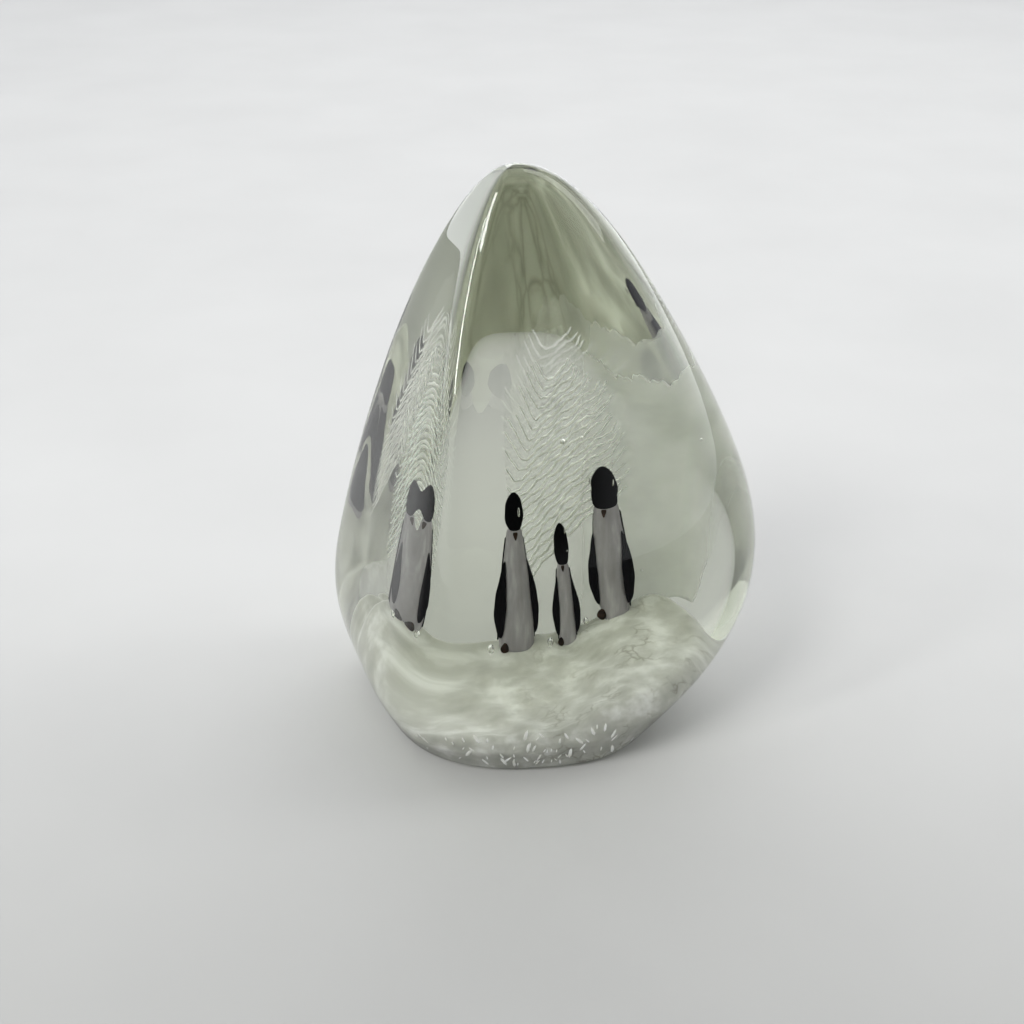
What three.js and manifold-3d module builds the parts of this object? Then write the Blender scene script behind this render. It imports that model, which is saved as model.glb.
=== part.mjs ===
import * as THREE from 'three';
import { mergeVertices } from 'three/addons/utils/BufferGeometryUtils.js';
import Module from 'manifold-3d';

const wasm = await Module();
wasm.setup();

// Lengths in mm, turns in degrees about the upright axis, 0 to the right and -90 to the front
const height = 111.5;
const stations = [0, 0.125, 0.285, 0.5, 0.75, 1];   // where the faces are given, as shares of height
const faces = {
  right: { turn: 8, reach: 41.9, profile: [0.501, 0.816, 1, 0.905, 0.628, 0.432] },
  front: { turn: -79, reach: 33.1, profile: [0.822, 0.979, 1, 0.819, 0.483, 0.257] },
  back: { turn: 96, reach: 28.3, profile: [0.919, 0.989, 1, 0.848, 0.541, 0.212] },
  left: { turn: 199, reach: 35.2, profile: [0.935, 1.088, 1, 0.804, 0.557, 0.338] },
};
const softEdge = 2.3;          // how the right, front and back faces melt into one egg
const crispEdge = 7;           // the paddled left face meets the egg in a ridge
const crispFoot = 3;           // which melts away towards the foot
const ridgeFrom = 45;          // height from which the ridge is at its crispest
const leanX = -6.1;            // the tip stands to the left of the foot
const leanY = -2;
const capStart = 0.57;         // share of height where the sides begin to close over the tip
const footRound = 1.5;         // ground edge of the flat base

const gap = 0.3;               // clearance between neighbouring pieces
const wall = 3.4;              // clear glass round the snow bed
const snowHeight = 0.12 * height;   // at the upright axis
const snowSlope = 0.12;        // the bed climbs towards the back
const snowRise = 4.2;          // and by this much under the right penguin
const snowStep = 14;           // over this distance to the right
const snowBack = 21.5;         // back edge, measured from the axis
const snowRag = 0.7;           // raggedness of that edge
const lump = { high: 0.5, long: 12.6 };
const sink = 1.2;              // how deep a penguin is set in the snow

// A penguin stands at x, y, given as shares of snowBack; its other sizes are shares of its own height:
// belly, neck and head are radii, seat is the radius under the belly and hood the height of the head;
// low is where the body is widest, as a share of the body, bow how full it is above that,
// jaw the head's underside against its full width, lean and turn are degrees
const penguins = [
  { name: 'left_penguin', x: -0.409, y: 0.372, tall: 0.278 * height, lean: -0.2, turn: 10,
    belly: 0.108, seat: 0.092, neck: 0.043, low: 0.12, bow: 1.35, head: 0.055, hood: 0.245, jaw: 0.6 },
  { name: 'middle_penguin', x: 0.044, y: 0.419, tall: 0.217 * height, lean: -3.1, turn: 5,
    belly: 0.075, seat: 0.056, neck: 0.045, low: 0.35, bow: 1.5, head: 0.06, hood: 0.335, jaw: 0.75 },
  { name: 'right_penguin', x: 0.426, y: 0.558, tall: 0.271 * height, lean: -4.4, turn: -5,
    belly: 0.089, seat: 0.05, neck: 0.066, low: 0.42, bow: 1.8, head: 0.078, hood: 0.265, jaw: 0.9 },
];
const flatness = 0.92;         // depth of a penguin against its width
const headNod = 4;
const coatThickness = 0.5;
const coatFrom = 0.1;          // the coat covers this stretch of the body's profile
const coatTo = 0.88;
const coatOpening = 0.15;      // its front edges stand this share of the belly behind the middle

// Small bits of a penguin, also as shares of its height, with their turns in degrees:
// drop is below level, ahead is from the side to the front, aside from the front to the left
const beak = { radius: 0.02, long: 0.075, drop: 62 };
const flipper = { thick: 0.042, deep: 0.09, long: 0.44, middle: 0.34, ahead: 20 };
const foot = { wide: 0.05, long: 0.065, thick: 0.05, aside: 28 };

const veilFrom = 38;           // the veil follows the back face between these two turns
const veilTo = 116;
const veilThickness = 0.9;
const veilInset = 10;          // from the back face, at the foot of the veil
const veilInsetTop = 4.6;
const veilTop = 0.538 * height;
const veilPeak = 0.135 * height;   // the top edge rises by this much in the middle
const veilMiddle = 0.58;       // which is this share of the width from the right end
const veilSpread = 0.235;      // and over this share of it to each side
const veilRag = 1.2;           // raggedness of the top edge
const ripples = 8;             // whole waves from the snow to the top edge
const rippleHeight = 0.35;
const veilColumns = 14;

const rad = THREE.MathUtils.degToRad;

// Natural cubic spline through (xs, ys)
function splineThrough(xs, ys) {
  const n = xs.length;
  const bend = new Array(n).fill(0);
  const work = new Array(n).fill(0);
  for (let i = 1; i < n - 1; i++) {
    const share = (xs[i] - xs[i - 1]) / (xs[i + 1] - xs[i - 1]);
    const p = share * bend[i - 1] + 2;
    const steps = (ys[i + 1] - ys[i]) / (xs[i + 1] - xs[i]) - (ys[i] - ys[i - 1]) / (xs[i] - xs[i - 1]);
    bend[i] = (share - 1) / p;
    work[i] = (6 * steps / (xs[i + 1] - xs[i - 1]) - share * work[i - 1]) / p;
  }
  for (let i = n - 2; i >= 0; i--) bend[i] = bend[i] * bend[i + 1] + work[i];
  return x => {
    let i = 0;
    while (i < n - 2 && x > xs[i + 1]) i++;
    const span = xs[i + 1] - xs[i];
    const a = (xs[i + 1] - x) / span;
    const b = 1 - a;
    const curve = (a ** 3 - a) * bend[i] + (b ** 3 - b) * bend[i + 1];
    return a * ys[i] + b * ys[i + 1] + curve * span * span / 6;
  };
}

for (const face of Object.values(faces)) {
  face.at = splineThrough(stations.map(s => s * height), face.profile.map(p => p * face.reach));
}

// Distance from the axis to the glass surface at a turn (radians) and a height
function bodyRadius(turn, z) {
  const rise = Math.max(0, (z / height - capStart) / (1 - capStart));
  const cap = Math.sqrt(Math.max(1e-6, 1 - rise ** 3));
  const share = face => Math.max(0, Math.cos(turn - rad(face.turn))) / (face.at(z) * cap);
  const soft = ['right', 'front', 'back'].reduce((sum, name) => sum + share(faces[name]) ** softEdge, 0);
  const egg = soft ** (1 / softEdge);
  const crisp = THREE.MathUtils.lerp(crispFoot, crispEdge, THREE.MathUtils.smoothstep(z, 0, ridgeFrom));
  return (egg ** crisp + share(faces.left) ** crisp) ** (-1 / crisp);
}

function axisAt(z) {
  return new THREE.Vector3(leanX, leanY, 0).multiplyScalar((z / height) ** 2).setZ(z);
}

function pointAt(turn, z, inset = 0) {
  const r = bodyRadius(turn, z) - inset;
  return axisAt(z).add(new THREE.Vector3(Math.cos(turn) * r, Math.sin(turn) * r, 0));
}

function geometryOf(points, triangles) {
  const geometry = new THREE.BufferGeometry().setFromPoints(points);
  geometry.setIndex(triangles.flat());
  return geometry;
}

// Skin over a stack of rings with the same number of points, closed by a point at each end
function loft(rings, bottom, top) {
  const n = rings[0].length;
  const triangles = [];
  for (let j = 0; j < rings.length - 1; j++) {
    for (let i = 0; i < n; i++) {
      const a = j * n + i;
      const b = j * n + (i + 1) % n;
      triangles.push([a, b, b + n], [a, b + n, a + n]);
    }
  }
  const count = rings.length * n;
  for (let i = 0; i < n; i++) {
    triangles.push([(i + 1) % n, i, count], [count - n + i, count - n + (i + 1) % n, count + 1]);
  }
  return geometryOf([...rings.flat(), bottom, top], triangles);
}

// Solid sheet between two grids of points (rows of columns), the first one facing the front
function sheet(front, back) {
  const rows = front.length;
  const columns = front[0].length;
  const count = rows * columns;
  const at = (j, i) => j * columns + i;
  const triangles = [];
  const quad = (a, b, c, d) => triangles.push([a, b, c], [a, c, d]);
  for (let j = 0; j < rows - 1; j++) {
    for (let i = 0; i < columns - 1; i++) {
      quad(at(j, i), at(j + 1, i), at(j + 1, i + 1), at(j, i + 1));
      quad(count + at(j, i), count + at(j, i + 1), count + at(j + 1, i + 1), count + at(j + 1, i));
    }
    const last = columns - 1;
    quad(at(j, 0), count + at(j, 0), count + at(j + 1, 0), at(j + 1, 0));
    quad(at(j + 1, last), count + at(j + 1, last), count + at(j, last), at(j, last));
  }
  for (let i = 0; i < columns - 1; i++) {
    const last = rows - 1;
    quad(at(0, i + 1), count + at(0, i + 1), count + at(0, i), at(0, i));
    quad(at(last, i), count + at(last, i), count + at(last, i + 1), at(last, i + 1));
  }
  return geometryOf([...front.flat(), ...back.flat()], triangles);
}

function solid(geometry) {
  const bare = new THREE.BufferGeometry().setAttribute('position', geometry.getAttribute('position'));
  bare.setIndex(geometry.getIndex());
  const merged = mergeVertices(bare, 1e-4);
  const index = merged.getIndex().array;
  const kept = [];
  for (let i = 0; i < index.length; i += 3) {
    const [a, b, c] = [index[i], index[i + 1], index[i + 2]];
    if (a !== b && b !== c && c !== a) kept.push(a, b, c);
  }
  const vertProperties = new Float32Array(merged.getAttribute('position').array);
  return new wasm.Manifold(new wasm.Mesh({ numProp: 3, vertProperties, triVerts: new Uint32Array(kept) }));
}

function geometryFrom(body) {
  const mesh = body.getMesh();
  const geometry = new THREE.BufferGeometry();
  geometry.setAttribute('position', new THREE.BufferAttribute(new Float32Array(mesh.vertProperties), 3));
  geometry.setIndex(new THREE.BufferAttribute(new Uint32Array(mesh.triVerts), 1));
  return geometry;
}

function turns(count) {
  return Array.from({ length: count }, (_, i) => i / count * Math.PI * 2);
}

// Clear egg with a paddled left face, a soft tip and a flat ground base
function glassBlank() {
  const around = turns(56);
  const sides = 12;
  const footHeights = [0, 0.12, 0.45, 1].map(s => s * footRound);
  const sideHeights = Array.from({ length: sides }, (_, i) =>
    THREE.MathUtils.lerp(footRound, capStart * height, (i + 1) / sides));
  const capHeights = [0.16, 0.32, 0.48, 0.62, 0.74, 0.84, 0.92, 0.97, 0.993]
    .map(s => height * (capStart + (1 - capStart) * s));
  const rings = [...footHeights, ...sideHeights, ...capHeights].map(z => {
    const below = Math.max(0, footRound - z);
    const eased = footRound - Math.sqrt(footRound ** 2 - below ** 2);
    return around.map(turn => pointAt(turn, z, eased));
  });
  return loft(rings, new THREE.Vector3(0, 0, 0), axisAt(height));
}

function smoothStep(x, from, to) {
  return THREE.MathUtils.smoothstep(x, from, to);
}

function snowTop(x, y) {
  const wave = 2 * Math.PI / lump.long;
  const broad = Math.sin(wave * x + 0.8) * Math.cos(0.9 * wave * y);
  const small = 0.7 * Math.sin(wave * (1.6 * x + 1.2 * y));
  return snowHeight + snowSlope * y + snowRise * smoothStep(x, 0, snowStep) + lump.high * (broad + small);
}

// Mound of snow on the base, rounded at its rim and ragged along its back edge
function snowMound(grow) {
  const around = turns(48);
  const reach = (turn, z) => {
    const side = bodyRadius(turn, z) - wall;
    const ragged = snowBack + snowRag * (Math.sin(17 * turn) + 0.7 * Math.sin(29 * turn + 1));
    const back = Math.sin(turn) > 0.2 ? ragged / Math.sin(turn) : side;
    return Math.min(side, back) + grow;
  };
  const ring = (share, zOf) => around.map(turn => {
    const r = reach(turn, 0.5 * snowHeight) * share;
    const x = Math.cos(turn) * r;
    const y = Math.sin(turn) * r;
    return new THREE.Vector3(x, y, zOf(x, y) + grow);
  });
  const under = grow > 0 ? -wall : 0;
  const floor = around.map(turn => {
    const r = reach(turn, footRound);
    return new THREE.Vector3(Math.cos(turn) * r, Math.sin(turn) * r, under);
  });
  const rounding = [[1, 0.5], [0.985, 0.74], [0.95, 0.9], [0.88, 1]];
  const rim = rounding.map(([share, rise]) => ring(share, (x, y) => snowTop(x, y) * rise));
  const crown = [0.74, 0.58, 0.42, 0.27, 0.13].map(share => ring(share, snowTop));
  const bottom = new THREE.Vector3(0, 0, under);
  const top = new THREE.Vector3(0, 0, snowTop(0, 0) + grow);
  return loft([floor, ...rim, ...crown], bottom, top);
}

function bodyTop(spec) {
  return (1 - spec.hood) * spec.tall - gap;
}

// Half width of a penguin's body at a share of its height, from its underside to its neck
function flank(spec, share) {
  const { belly, seat, neck, low, bow, tall } = spec;
  const lerp = THREE.MathUtils.lerp;
  if (share < low) return tall * lerp(seat, belly, Math.sin(Math.PI / 2 * Math.sqrt(share / low)));
  return tall * lerp(belly, neck, ((share - low) / (1 - low)) ** bow);
}

function bodyProfile(spec, grow, from = 0, to = 1) {
  const steps = 7;
  return Array.from({ length: steps + 1 }, (_, i) => {
    const share = from + (to - from) * (i / steps);
    return new THREE.Vector2(flank(spec, share) + grow, share * bodyTop(spec));
  });
}

function ellipsoid(wide, deep, tall, grow, across = 12, up = 8) {
  return new THREE.SphereGeometry(1, across, up).rotateX(Math.PI / 2)
    .scale(0.5 * wide + grow, 0.5 * deep + grow, 0.5 * tall + grow);
}

function lathe(points) {
  return new THREE.LatheGeometry(points, 12).rotateX(Math.PI / 2);
}

function bodyCore(spec, grow) {
  const side = bodyProfile(spec, grow);
  const low = new THREE.Vector2(0, -grow);
  const high = new THREE.Vector2(0, bodyTop(spec) + grow);
  side[0].y -= grow;
  return lathe([low, ...side, high]);
}

// Hood-like head, from its underside to its crown
function headShape(spec, grow) {
  const tall = spec.hood * spec.tall;
  const side = [[spec.jaw, 0.03], [0.97, 0.2], [1, 0.4], [0.9, 0.65], [0.66, 0.85], [0.34, 0.96]]
    .map(([r, s]) => new THREE.Vector2(r * spec.head * spec.tall + grow, s * tall));
  const low = new THREE.Vector2(0, -grow);
  const high = new THREE.Vector2(0, tall + grow);
  side[0].y -= grow;
  return lathe([low, ...side, high]).rotateX(rad(headNod)).translate(0, 0, spec.tall - tall);
}

// Beak at the front of the jaw, pointing down over the neck
function beakShape(spec, grow) {
  const long = beak.long * spec.tall;
  const out = Math.max(spec.neck, spec.jaw * spec.head) * spec.tall + gap;
  return new THREE.ConeGeometry(beak.radius * spec.tall + grow, long + 2 * grow, 8)
    .translate(0, 0.5 * long, 0).rotateX(Math.PI + rad(beak.drop))
    .translate(0, -out, spec.tall * (1 - spec.hood));
}

// Leaf lying along the flank, a little ahead of the side
function flipperShape(spec, side, grow) {
  const { thick, deep, long, middle, ahead } = flipper;
  const out = share => flank(spec, share * spec.tall / bodyTop(spec));
  const tilt = Math.atan2(out(middle - long / 3) - out(middle + long / 3), 2 / 3 * long * spec.tall);
  return ellipsoid(thick * spec.tall, deep * spec.tall, long * spec.tall, grow, 10, 8).rotateY(-tilt)
    .translate(out(middle) + gap + 0.5 * thick * spec.tall, 0, middle * spec.tall)
    .rotateZ(side > 0 ? -rad(ahead) : Math.PI + rad(ahead));
}

// Foot at the front left of the belly, half in the snow
function footShape(spec, grow) {
  return ellipsoid(foot.wide * spec.tall, foot.long * spec.tall, foot.thick * spec.tall, grow, 8, 6)
    .translate(0, -spec.belly * spec.tall, sink + 0.2 * foot.thick * spec.tall).rotateZ(-rad(foot.aside));
}

// Black coat round the back, open at the front
function coatShell(spec, grow) {
  const inner = bodyProfile(spec, gap - grow, coatFrom, coatTo);
  const outer = bodyProfile(spec, gap + coatThickness + grow, coatFrom, coatTo);
  for (const side of [inner, outer]) {
    side[0].y -= grow;
    side[side.length - 1].y += grow;
  }
  const ring = solid(lathe([...outer, ...inner.reverse(), outer[0]]));
  const deep = spec.tall;
  const opening = new THREE.BoxGeometry(deep, deep, 2 * spec.tall)
    .translate(0, -0.5 * deep + coatOpening * spec.belly * spec.tall - grow, 0);
  return ring.subtract(solid(opening));
}

// Pieces of one penguin and the room they take in the glass and the snow, set in place
function penguinSolids(spec) {
  const [x, y] = [spec.x * snowBack, spec.y * snowBack];
  const place = new THREE.Matrix4().makeTranslation(x, y, snowTop(x, y) - sink)
    .multiply(new THREE.Matrix4().makeRotationY(rad(spec.lean)))
    .multiply(new THREE.Matrix4().makeRotationZ(rad(spec.turn)))
    .multiply(new THREE.Matrix4().makeScale(1, flatness, 1));
  const put = body => solid(geometryFrom(body).applyMatrix4(place));
  const bellyRoom = solid(bodyCore(spec, gap));
  const headRoom = solid(headShape(spec, gap));
  const trunk = bellyRoom.add(coatShell(spec, gap)).add(headRoom);
  const trunkRoom = solid(bodyCore(spec, 2 * gap + coatThickness)).add(headRoom);
  const pieces = {
    belly: solid(bodyCore(spec, 0)),
    coat: coatShell(spec, 0),
    head: solid(headShape(spec, 0)),
    beak: solid(beakShape(spec, 0)).subtract(trunk),
    left_flipper: solid(flipperShape(spec, -1, 0)).subtract(trunk),
    right_flipper: solid(flipperShape(spec, 1, 0)).subtract(trunk),
    foot: solid(footShape(spec, 0)).subtract(trunk).subtract(solid(flipperShape(spec, -1, gap))),
  };
  const room = [beakShape(spec, gap), flipperShape(spec, -1, gap), flipperShape(spec, 1, gap),
    footShape(spec, gap)].reduce((sum, bit) => sum.add(solid(bit)), trunkRoom);
  const placed = Object.entries(pieces).map(([piece, body]) => [`${spec.name}_${piece}`, put(body)]);
  return { placed, room: put(room) };
}

// Point on the veil: s runs from right to left, v from the snow to the top edge
function veilPoint(s, v, inset, beyond = 0) {
  const over = beyond / (rad(veilTo - veilFrom) * faces.back.reach);
  const u = THREE.MathUtils.lerp(-over, 1 + over, s);
  const turn = rad(veilFrom + (veilTo - veilFrom) * u);
  const root = pointAt(turn, snowHeight, veilInset);
  const low = snowTop(root.x, root.y) - sink - beyond;
  const peak = Math.exp(-(((s - veilMiddle) / veilSpread) ** 2));
  const high = veilTop + veilPeak * peak + beyond;
  const z = low + (high - low) * v + veilRag * Math.sin(40 * s) * v ** 3;
  return pointAt(turn, z, THREE.MathUtils.lerp(veilInset, veilInsetTop, v) + inset);
}

function veilGrid(rows, columns, inset, beyond = 0) {
  return Array.from({ length: rows + 1 }, (_, j) => Array.from({ length: columns + 1 }, (_, i) =>
    veilPoint(i / columns, j / rows, inset(j), beyond)));
}

function veilSheet() {
  const rows = 2 * Math.round(ripples);
  const ripple = j => veilThickness + (j % 2 ? rippleHeight : 0);
  return sheet(veilGrid(rows, veilColumns, ripple), veilGrid(rows, veilColumns, () => 0));
}

function veilRoom() {
  const rows = Math.round(ripples);
  const front = veilGrid(rows, veilColumns, () => veilThickness + rippleHeight + gap, gap);
  return sheet(front, veilGrid(rows, veilColumns, () => -gap, gap));
}

const finishes = {
  glass: { color: 0xcfd8c8, roughness: 0.02, metalness: 0 },
  snow: { color: 0xd9dcd4, roughness: 0.5, metalness: 0 },
  veil: { color: 0xe4e8e0, roughness: 0.3, metalness: 0 },
  white: { color: 0xa6a3a3, roughness: 0.25, metalness: 0 },
  black: { color: 0x0b0b0c, roughness: 0.12, metalness: 0 },
  brown: { color: 0x2a1c12, roughness: 0.2, metalness: 0 },
};

function finishFor(name) {
  if (name.endsWith('belly')) return finishes.white;
  if (name.endsWith('foot') || name.endsWith('beak')) return finishes.brown;
  if (name.includes('penguin')) return finishes.black;
  return finishes[{ clear_glass: 'glass', snow_bed: 'snow', ripple_veil: 'veil' }[name]];
}

function assembly() {
  const group = new THREE.Group();
  group.name = 'glass_paperweight';
  const figures = penguins.map(penguinSolids);
  const slot = solid(veilRoom());
  const rooms = figures.reduce((sum, figure) => sum.add(figure.room), slot);
  const blank = solid(glassBlank());
  const bodies = [
    ['clear_glass', blank.subtract(solid(snowMound(gap))).subtract(rooms)],
    ['snow_bed', solid(snowMound(0)).subtract(rooms)],
    ['ripple_veil', solid(veilSheet())],
    ...figures.flatMap(figure => figure.placed),
  ];
  const box = new THREE.Box3().setFromObject(new THREE.Mesh(geometryFrom(blank)));
  const middle = box.getCenter(new THREE.Vector3());
  for (const [name, body] of bodies) {
    const mesh = new THREE.Mesh(geometryFrom(body).translate(-middle.x, -middle.y, 0),
      new THREE.MeshStandardMaterial(finishFor(name)));
    mesh.name = name;
    group.add(mesh);
  }
  return group;
}

export default assembly();
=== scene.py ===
import math
import random

import bpy
from mathutils import Matrix, Vector, noise


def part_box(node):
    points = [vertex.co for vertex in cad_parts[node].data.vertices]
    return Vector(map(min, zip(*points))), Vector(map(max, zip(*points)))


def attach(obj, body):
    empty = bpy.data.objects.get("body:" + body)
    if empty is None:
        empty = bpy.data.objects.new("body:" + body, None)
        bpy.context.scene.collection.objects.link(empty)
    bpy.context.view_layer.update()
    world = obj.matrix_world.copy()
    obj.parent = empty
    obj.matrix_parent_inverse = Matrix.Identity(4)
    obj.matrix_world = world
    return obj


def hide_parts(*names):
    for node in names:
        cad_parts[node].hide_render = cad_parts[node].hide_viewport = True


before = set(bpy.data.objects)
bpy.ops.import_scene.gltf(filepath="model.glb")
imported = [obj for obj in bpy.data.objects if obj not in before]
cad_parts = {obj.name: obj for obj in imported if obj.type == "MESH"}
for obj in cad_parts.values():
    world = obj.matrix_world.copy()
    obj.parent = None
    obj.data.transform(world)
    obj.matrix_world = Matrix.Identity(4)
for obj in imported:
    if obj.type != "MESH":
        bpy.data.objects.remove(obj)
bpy.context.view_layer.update()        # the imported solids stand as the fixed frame, all below is dressed round them
mm = 0.001               # sizes are written in millimetres
scene = bpy.context.scene
scene.view_settings.view_transform = "Standard"
print("solids loaded:", len(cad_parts))


photoCamera = dict(
    lens=53.41, sensor=36,
    place=(-5.43, -258.25, 183.93),    # found from the outline of the glass in the photograph
    tiltDown=28.5, nearest=0.01,
)


def clearSelection():
    if bpy.context.object and bpy.context.object.mode != "OBJECT":
        bpy.ops.object.mode_set(mode="OBJECT")
    bpy.ops.object.select_all(action="DESELECT")


def addCamera(spec):
    clearSelection()
    bpy.ops.object.camera_add(
        location=Vector(spec["place"]) * mm,
        rotation=(math.radians(90 - spec["tiltDown"]), 0, 0),
    )
    camera = bpy.context.object
    camera.name = "photo_camera"
    camera.data.lens = spec["lens"]
    camera.data.sensor_width = spec["sensor"]
    camera.data.clip_start = spec["nearest"]
    scene.camera = camera


addCamera(photoCamera)
print("camera set")


# Small helpers for materials and pieces
def linear(hexColour):       # sRGB hex to the linear colour that the sockets take
    parts = [int(hexColour[i:i + 2], 16) / 255 for i in (1, 3, 5)]
    return (*[c / 12.92 if c <= 0.04045 else ((c + 0.055) / 1.055) ** 2.4 for c in parts], 1)


def addNode(tree, kind, links=(), values=(), ramp=(), **settings):
    node = tree.nodes.new("ShaderNode" + kind)
    for name, value in settings.items():
        setattr(node, name, value)
    for socket, value in dict(values).items():
        node.inputs[socket].default_value = value
    for socket, source in dict(links).items():
        tree.links.new(source, node.inputs[socket])
    for i, (place, colour) in enumerate(ramp):
        stops = node.color_ramp.elements
        stop = stops[i] if i < len(stops) else stops.new(place)
        stop.position = place
        stop.color = linear(colour)
    return node


def newMaterial(name):
    material = bpy.data.materials.new(name)
    material.use_nodes = True
    tree = material.node_tree
    return material, tree, tree.nodes["Principled BSDF"]


def perMetre(sizeMm):        # texture scale for features of this size on Object coordinates
    return 1 / (sizeMm * mm)


def finishPiece(piece, name, material, slotName, *nodes):
    piece.name = name
    piece.data.name = name
    piece.data.materials.clear()
    piece.data.materials.append(material)
    clearSelection()
    piece.select_set(True)
    bpy.context.view_layer.objects.active = piece
    bpy.ops.object.transform_apply(location=True, rotation=True, scale=True)
    bpy.ops.object.shade_smooth()
    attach(piece, "root")
    if nodes:
        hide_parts(*nodes)
    return piece


def applyModifier(piece, kind, **settings):
    bpy.context.view_layer.objects.active = piece
    modifier = piece.modifiers.new(kind.title(), kind)
    for name, value in settings.items():
        setattr(modifier, name, value)
    bpy.ops.object.modifier_apply(modifier=modifier.name)


def faceOutwards(piece):
    clearSelection()
    piece.select_set(True)
    bpy.context.view_layer.objects.active = piece
    bpy.ops.object.mode_set(mode="EDIT")
    bpy.ops.mesh.select_all(action="SELECT")
    bpy.ops.mesh.remove_doubles(threshold=0.002 * mm)
    bpy.ops.mesh.normals_make_consistent(inside=False)
    bpy.ops.object.mode_set(mode="OBJECT")


def joinInto(target, others):
    clearSelection()
    for piece in others:
        piece.select_set(True)
    target.select_set(True)
    bpy.context.view_layer.objects.active = target
    bpy.ops.object.join()
    return target


def smoothStep(x, low, high):
    t = min(1, max(0, (x - low) / (high - low)))
    return t * t * (3 - 2 * t)


def mix(a, b, t):
    return a + (b - a) * t


# The glass: a pointed egg with one paddled face on the left, drawn by how far its four faces reach
glassEgg = dict(
    height=111.5,
    stations=(0, 0.125, 0.285, 0.5, 0.75, 1),     # shares of the height
    right=dict(turn=8, reach=41.9, profile=(0.501, 0.816, 1, 0.905, 0.628, 0.432)),
    front=dict(turn=-79, reach=33.1, profile=(0.822, 0.979, 1, 0.819, 0.483, 0.257)),
    back=dict(turn=96, reach=28.3, profile=(0.919, 0.989, 1, 0.848, 0.541, 0.212)),
    left=dict(turn=199, reach=35.2, profile=(0.935, 1.088, 1, 0.804, 0.557, 0.338)),
    softEdge=2.3,            # right, front and back melt into one egg
    crispEdge=7,             # the left face meets it in a ridge
    crispFoot=3, ridgeFrom=45,
    lean=(-6.1, -2),         # the tip stands to the left of the foot
    capStart=0.57, footRound=1.5,
    around=256, baseRings=8, footRings=8, sideRings=92, capRings=84,
)


def splineThrough(xs, ys):   # natural cubic spline
    n = len(xs)
    bend = [0] * n
    work = [0] * n
    for i in range(1, n - 1):
        share = (xs[i] - xs[i - 1]) / (xs[i + 1] - xs[i - 1])
        p = share * bend[i - 1] + 2
        steps = (ys[i + 1] - ys[i]) / (xs[i + 1] - xs[i]) - (ys[i] - ys[i - 1]) / (xs[i] - xs[i - 1])
        bend[i] = (share - 1) / p
        work[i] = (6 * steps / (xs[i + 1] - xs[i - 1]) - share * work[i - 1]) / p
    for i in range(n - 2, -1, -1):
        bend[i] = bend[i] * bend[i + 1] + work[i]

    def curve(x):
        i = 0
        while i < n - 2 and x > xs[i + 1]:
            i += 1
        span = xs[i + 1] - xs[i]
        a = (xs[i + 1] - x) / span
        b = 1 - a
        sag = (a ** 3 - a) * bend[i] + (b ** 3 - b) * bend[i + 1]
        return a * ys[i] + b * ys[i + 1] + sag * span * span / 6

    return curve


faceCurves = {
    side: splineThrough(
        [s * glassEgg["height"] for s in glassEgg["stations"]],
        [p * glassEgg[side]["reach"] for p in glassEgg[side]["profile"]],
    )
    for side in ("right", "front", "back", "left")
}


def eggRadius(turn, z):
    e = glassEgg
    rise = max(0, (z / e["height"] - e["capStart"]) / (1 - e["capStart"]))
    cap = math.sqrt(max(1e-6, 1 - rise ** 3))

    def share(side):
        return max(0, math.cos(turn - math.radians(e[side]["turn"]))) / (faceCurves[side](z) * cap)

    soft = sum(share(side) ** e["softEdge"] for side in ("right", "front", "back"))
    crisp = mix(e["crispFoot"], e["crispEdge"], smoothStep(z, 0, e["ridgeFrom"]))
    return (soft ** (crisp / e["softEdge"]) + share("left") ** crisp) ** (-1 / crisp)


def eggAxis(z):
    up = (z / glassEgg["height"]) ** 2
    return Vector((glassEgg["lean"][0] * up, glassEgg["lean"][1] * up, z))


def eggPoint(turn, z, inset=0):
    r = eggRadius(turn, z) - inset
    return eggAxis(z) + Vector((math.cos(turn) * r, math.sin(turn) * r, 0))


def eggMiddle():             # the frame's origin is the middle of the glass seen from above
    heights = [1.5 * j for j in range(2, 40)]
    turns = [math.radians(3 * i) for i in range(120)]
    points = [eggPoint(turn, z) for z in heights for turn in turns]
    xs = [p.x for p in points]
    ys = [p.y for p in points]
    return Vector(((min(xs) + max(xs)) / 2, (min(ys) + max(ys)) / 2, 0))


axisPlace = -eggMiddle()     # where the upright axis stands in the frame
print("axis at", [round(v, 2) for v in axisPlace])


def ringBall(around, rings, place):
    # a UV sphere whose rings are laid one by one, place(ring, turn) gives each point from the axis
    clearSelection()
    bpy.ops.mesh.primitive_uv_sphere_add(segments=around, ring_count=rings, radius=1)
    piece = bpy.context.object
    for vertex in piece.data.vertices:
        x, y, z = vertex.co
        ring = round((math.pi - math.acos(max(-1, min(1, z)))) / math.pi * rings)
        vertex.co = (place(ring, math.atan2(y, x)) + axisPlace) * mm
    return piece


def eggRing(ring, turn):
    e = glassEgg
    foot = e["footRound"]
    if ring <= e["baseRings"]:                          # flat ground base
        r = (eggRadius(turn, 0) - foot) * ring / e["baseRings"]
        return Vector((math.cos(turn) * r, math.sin(turn) * r, 0))
    ring -= e["baseRings"]
    if ring <= e["footRings"]:                          # rounded edge of the base
        a = math.pi / 2 * ring / e["footRings"]
        return eggPoint(turn, foot * (1 - math.cos(a)), foot * (1 - math.sin(a)))
    ring -= e["footRings"]
    capFrom = e["capStart"] * e["height"]
    if ring <= e["sideRings"]:
        return eggPoint(turn, mix(foot, capFrom, ring / e["sideRings"]))
    ring -= e["sideRings"]
    if ring == e["capRings"]:
        return eggAxis(e["height"])
    return eggPoint(turn, mix(capFrom, e["height"], math.sin(math.pi / 2 * ring / e["capRings"])))


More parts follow.
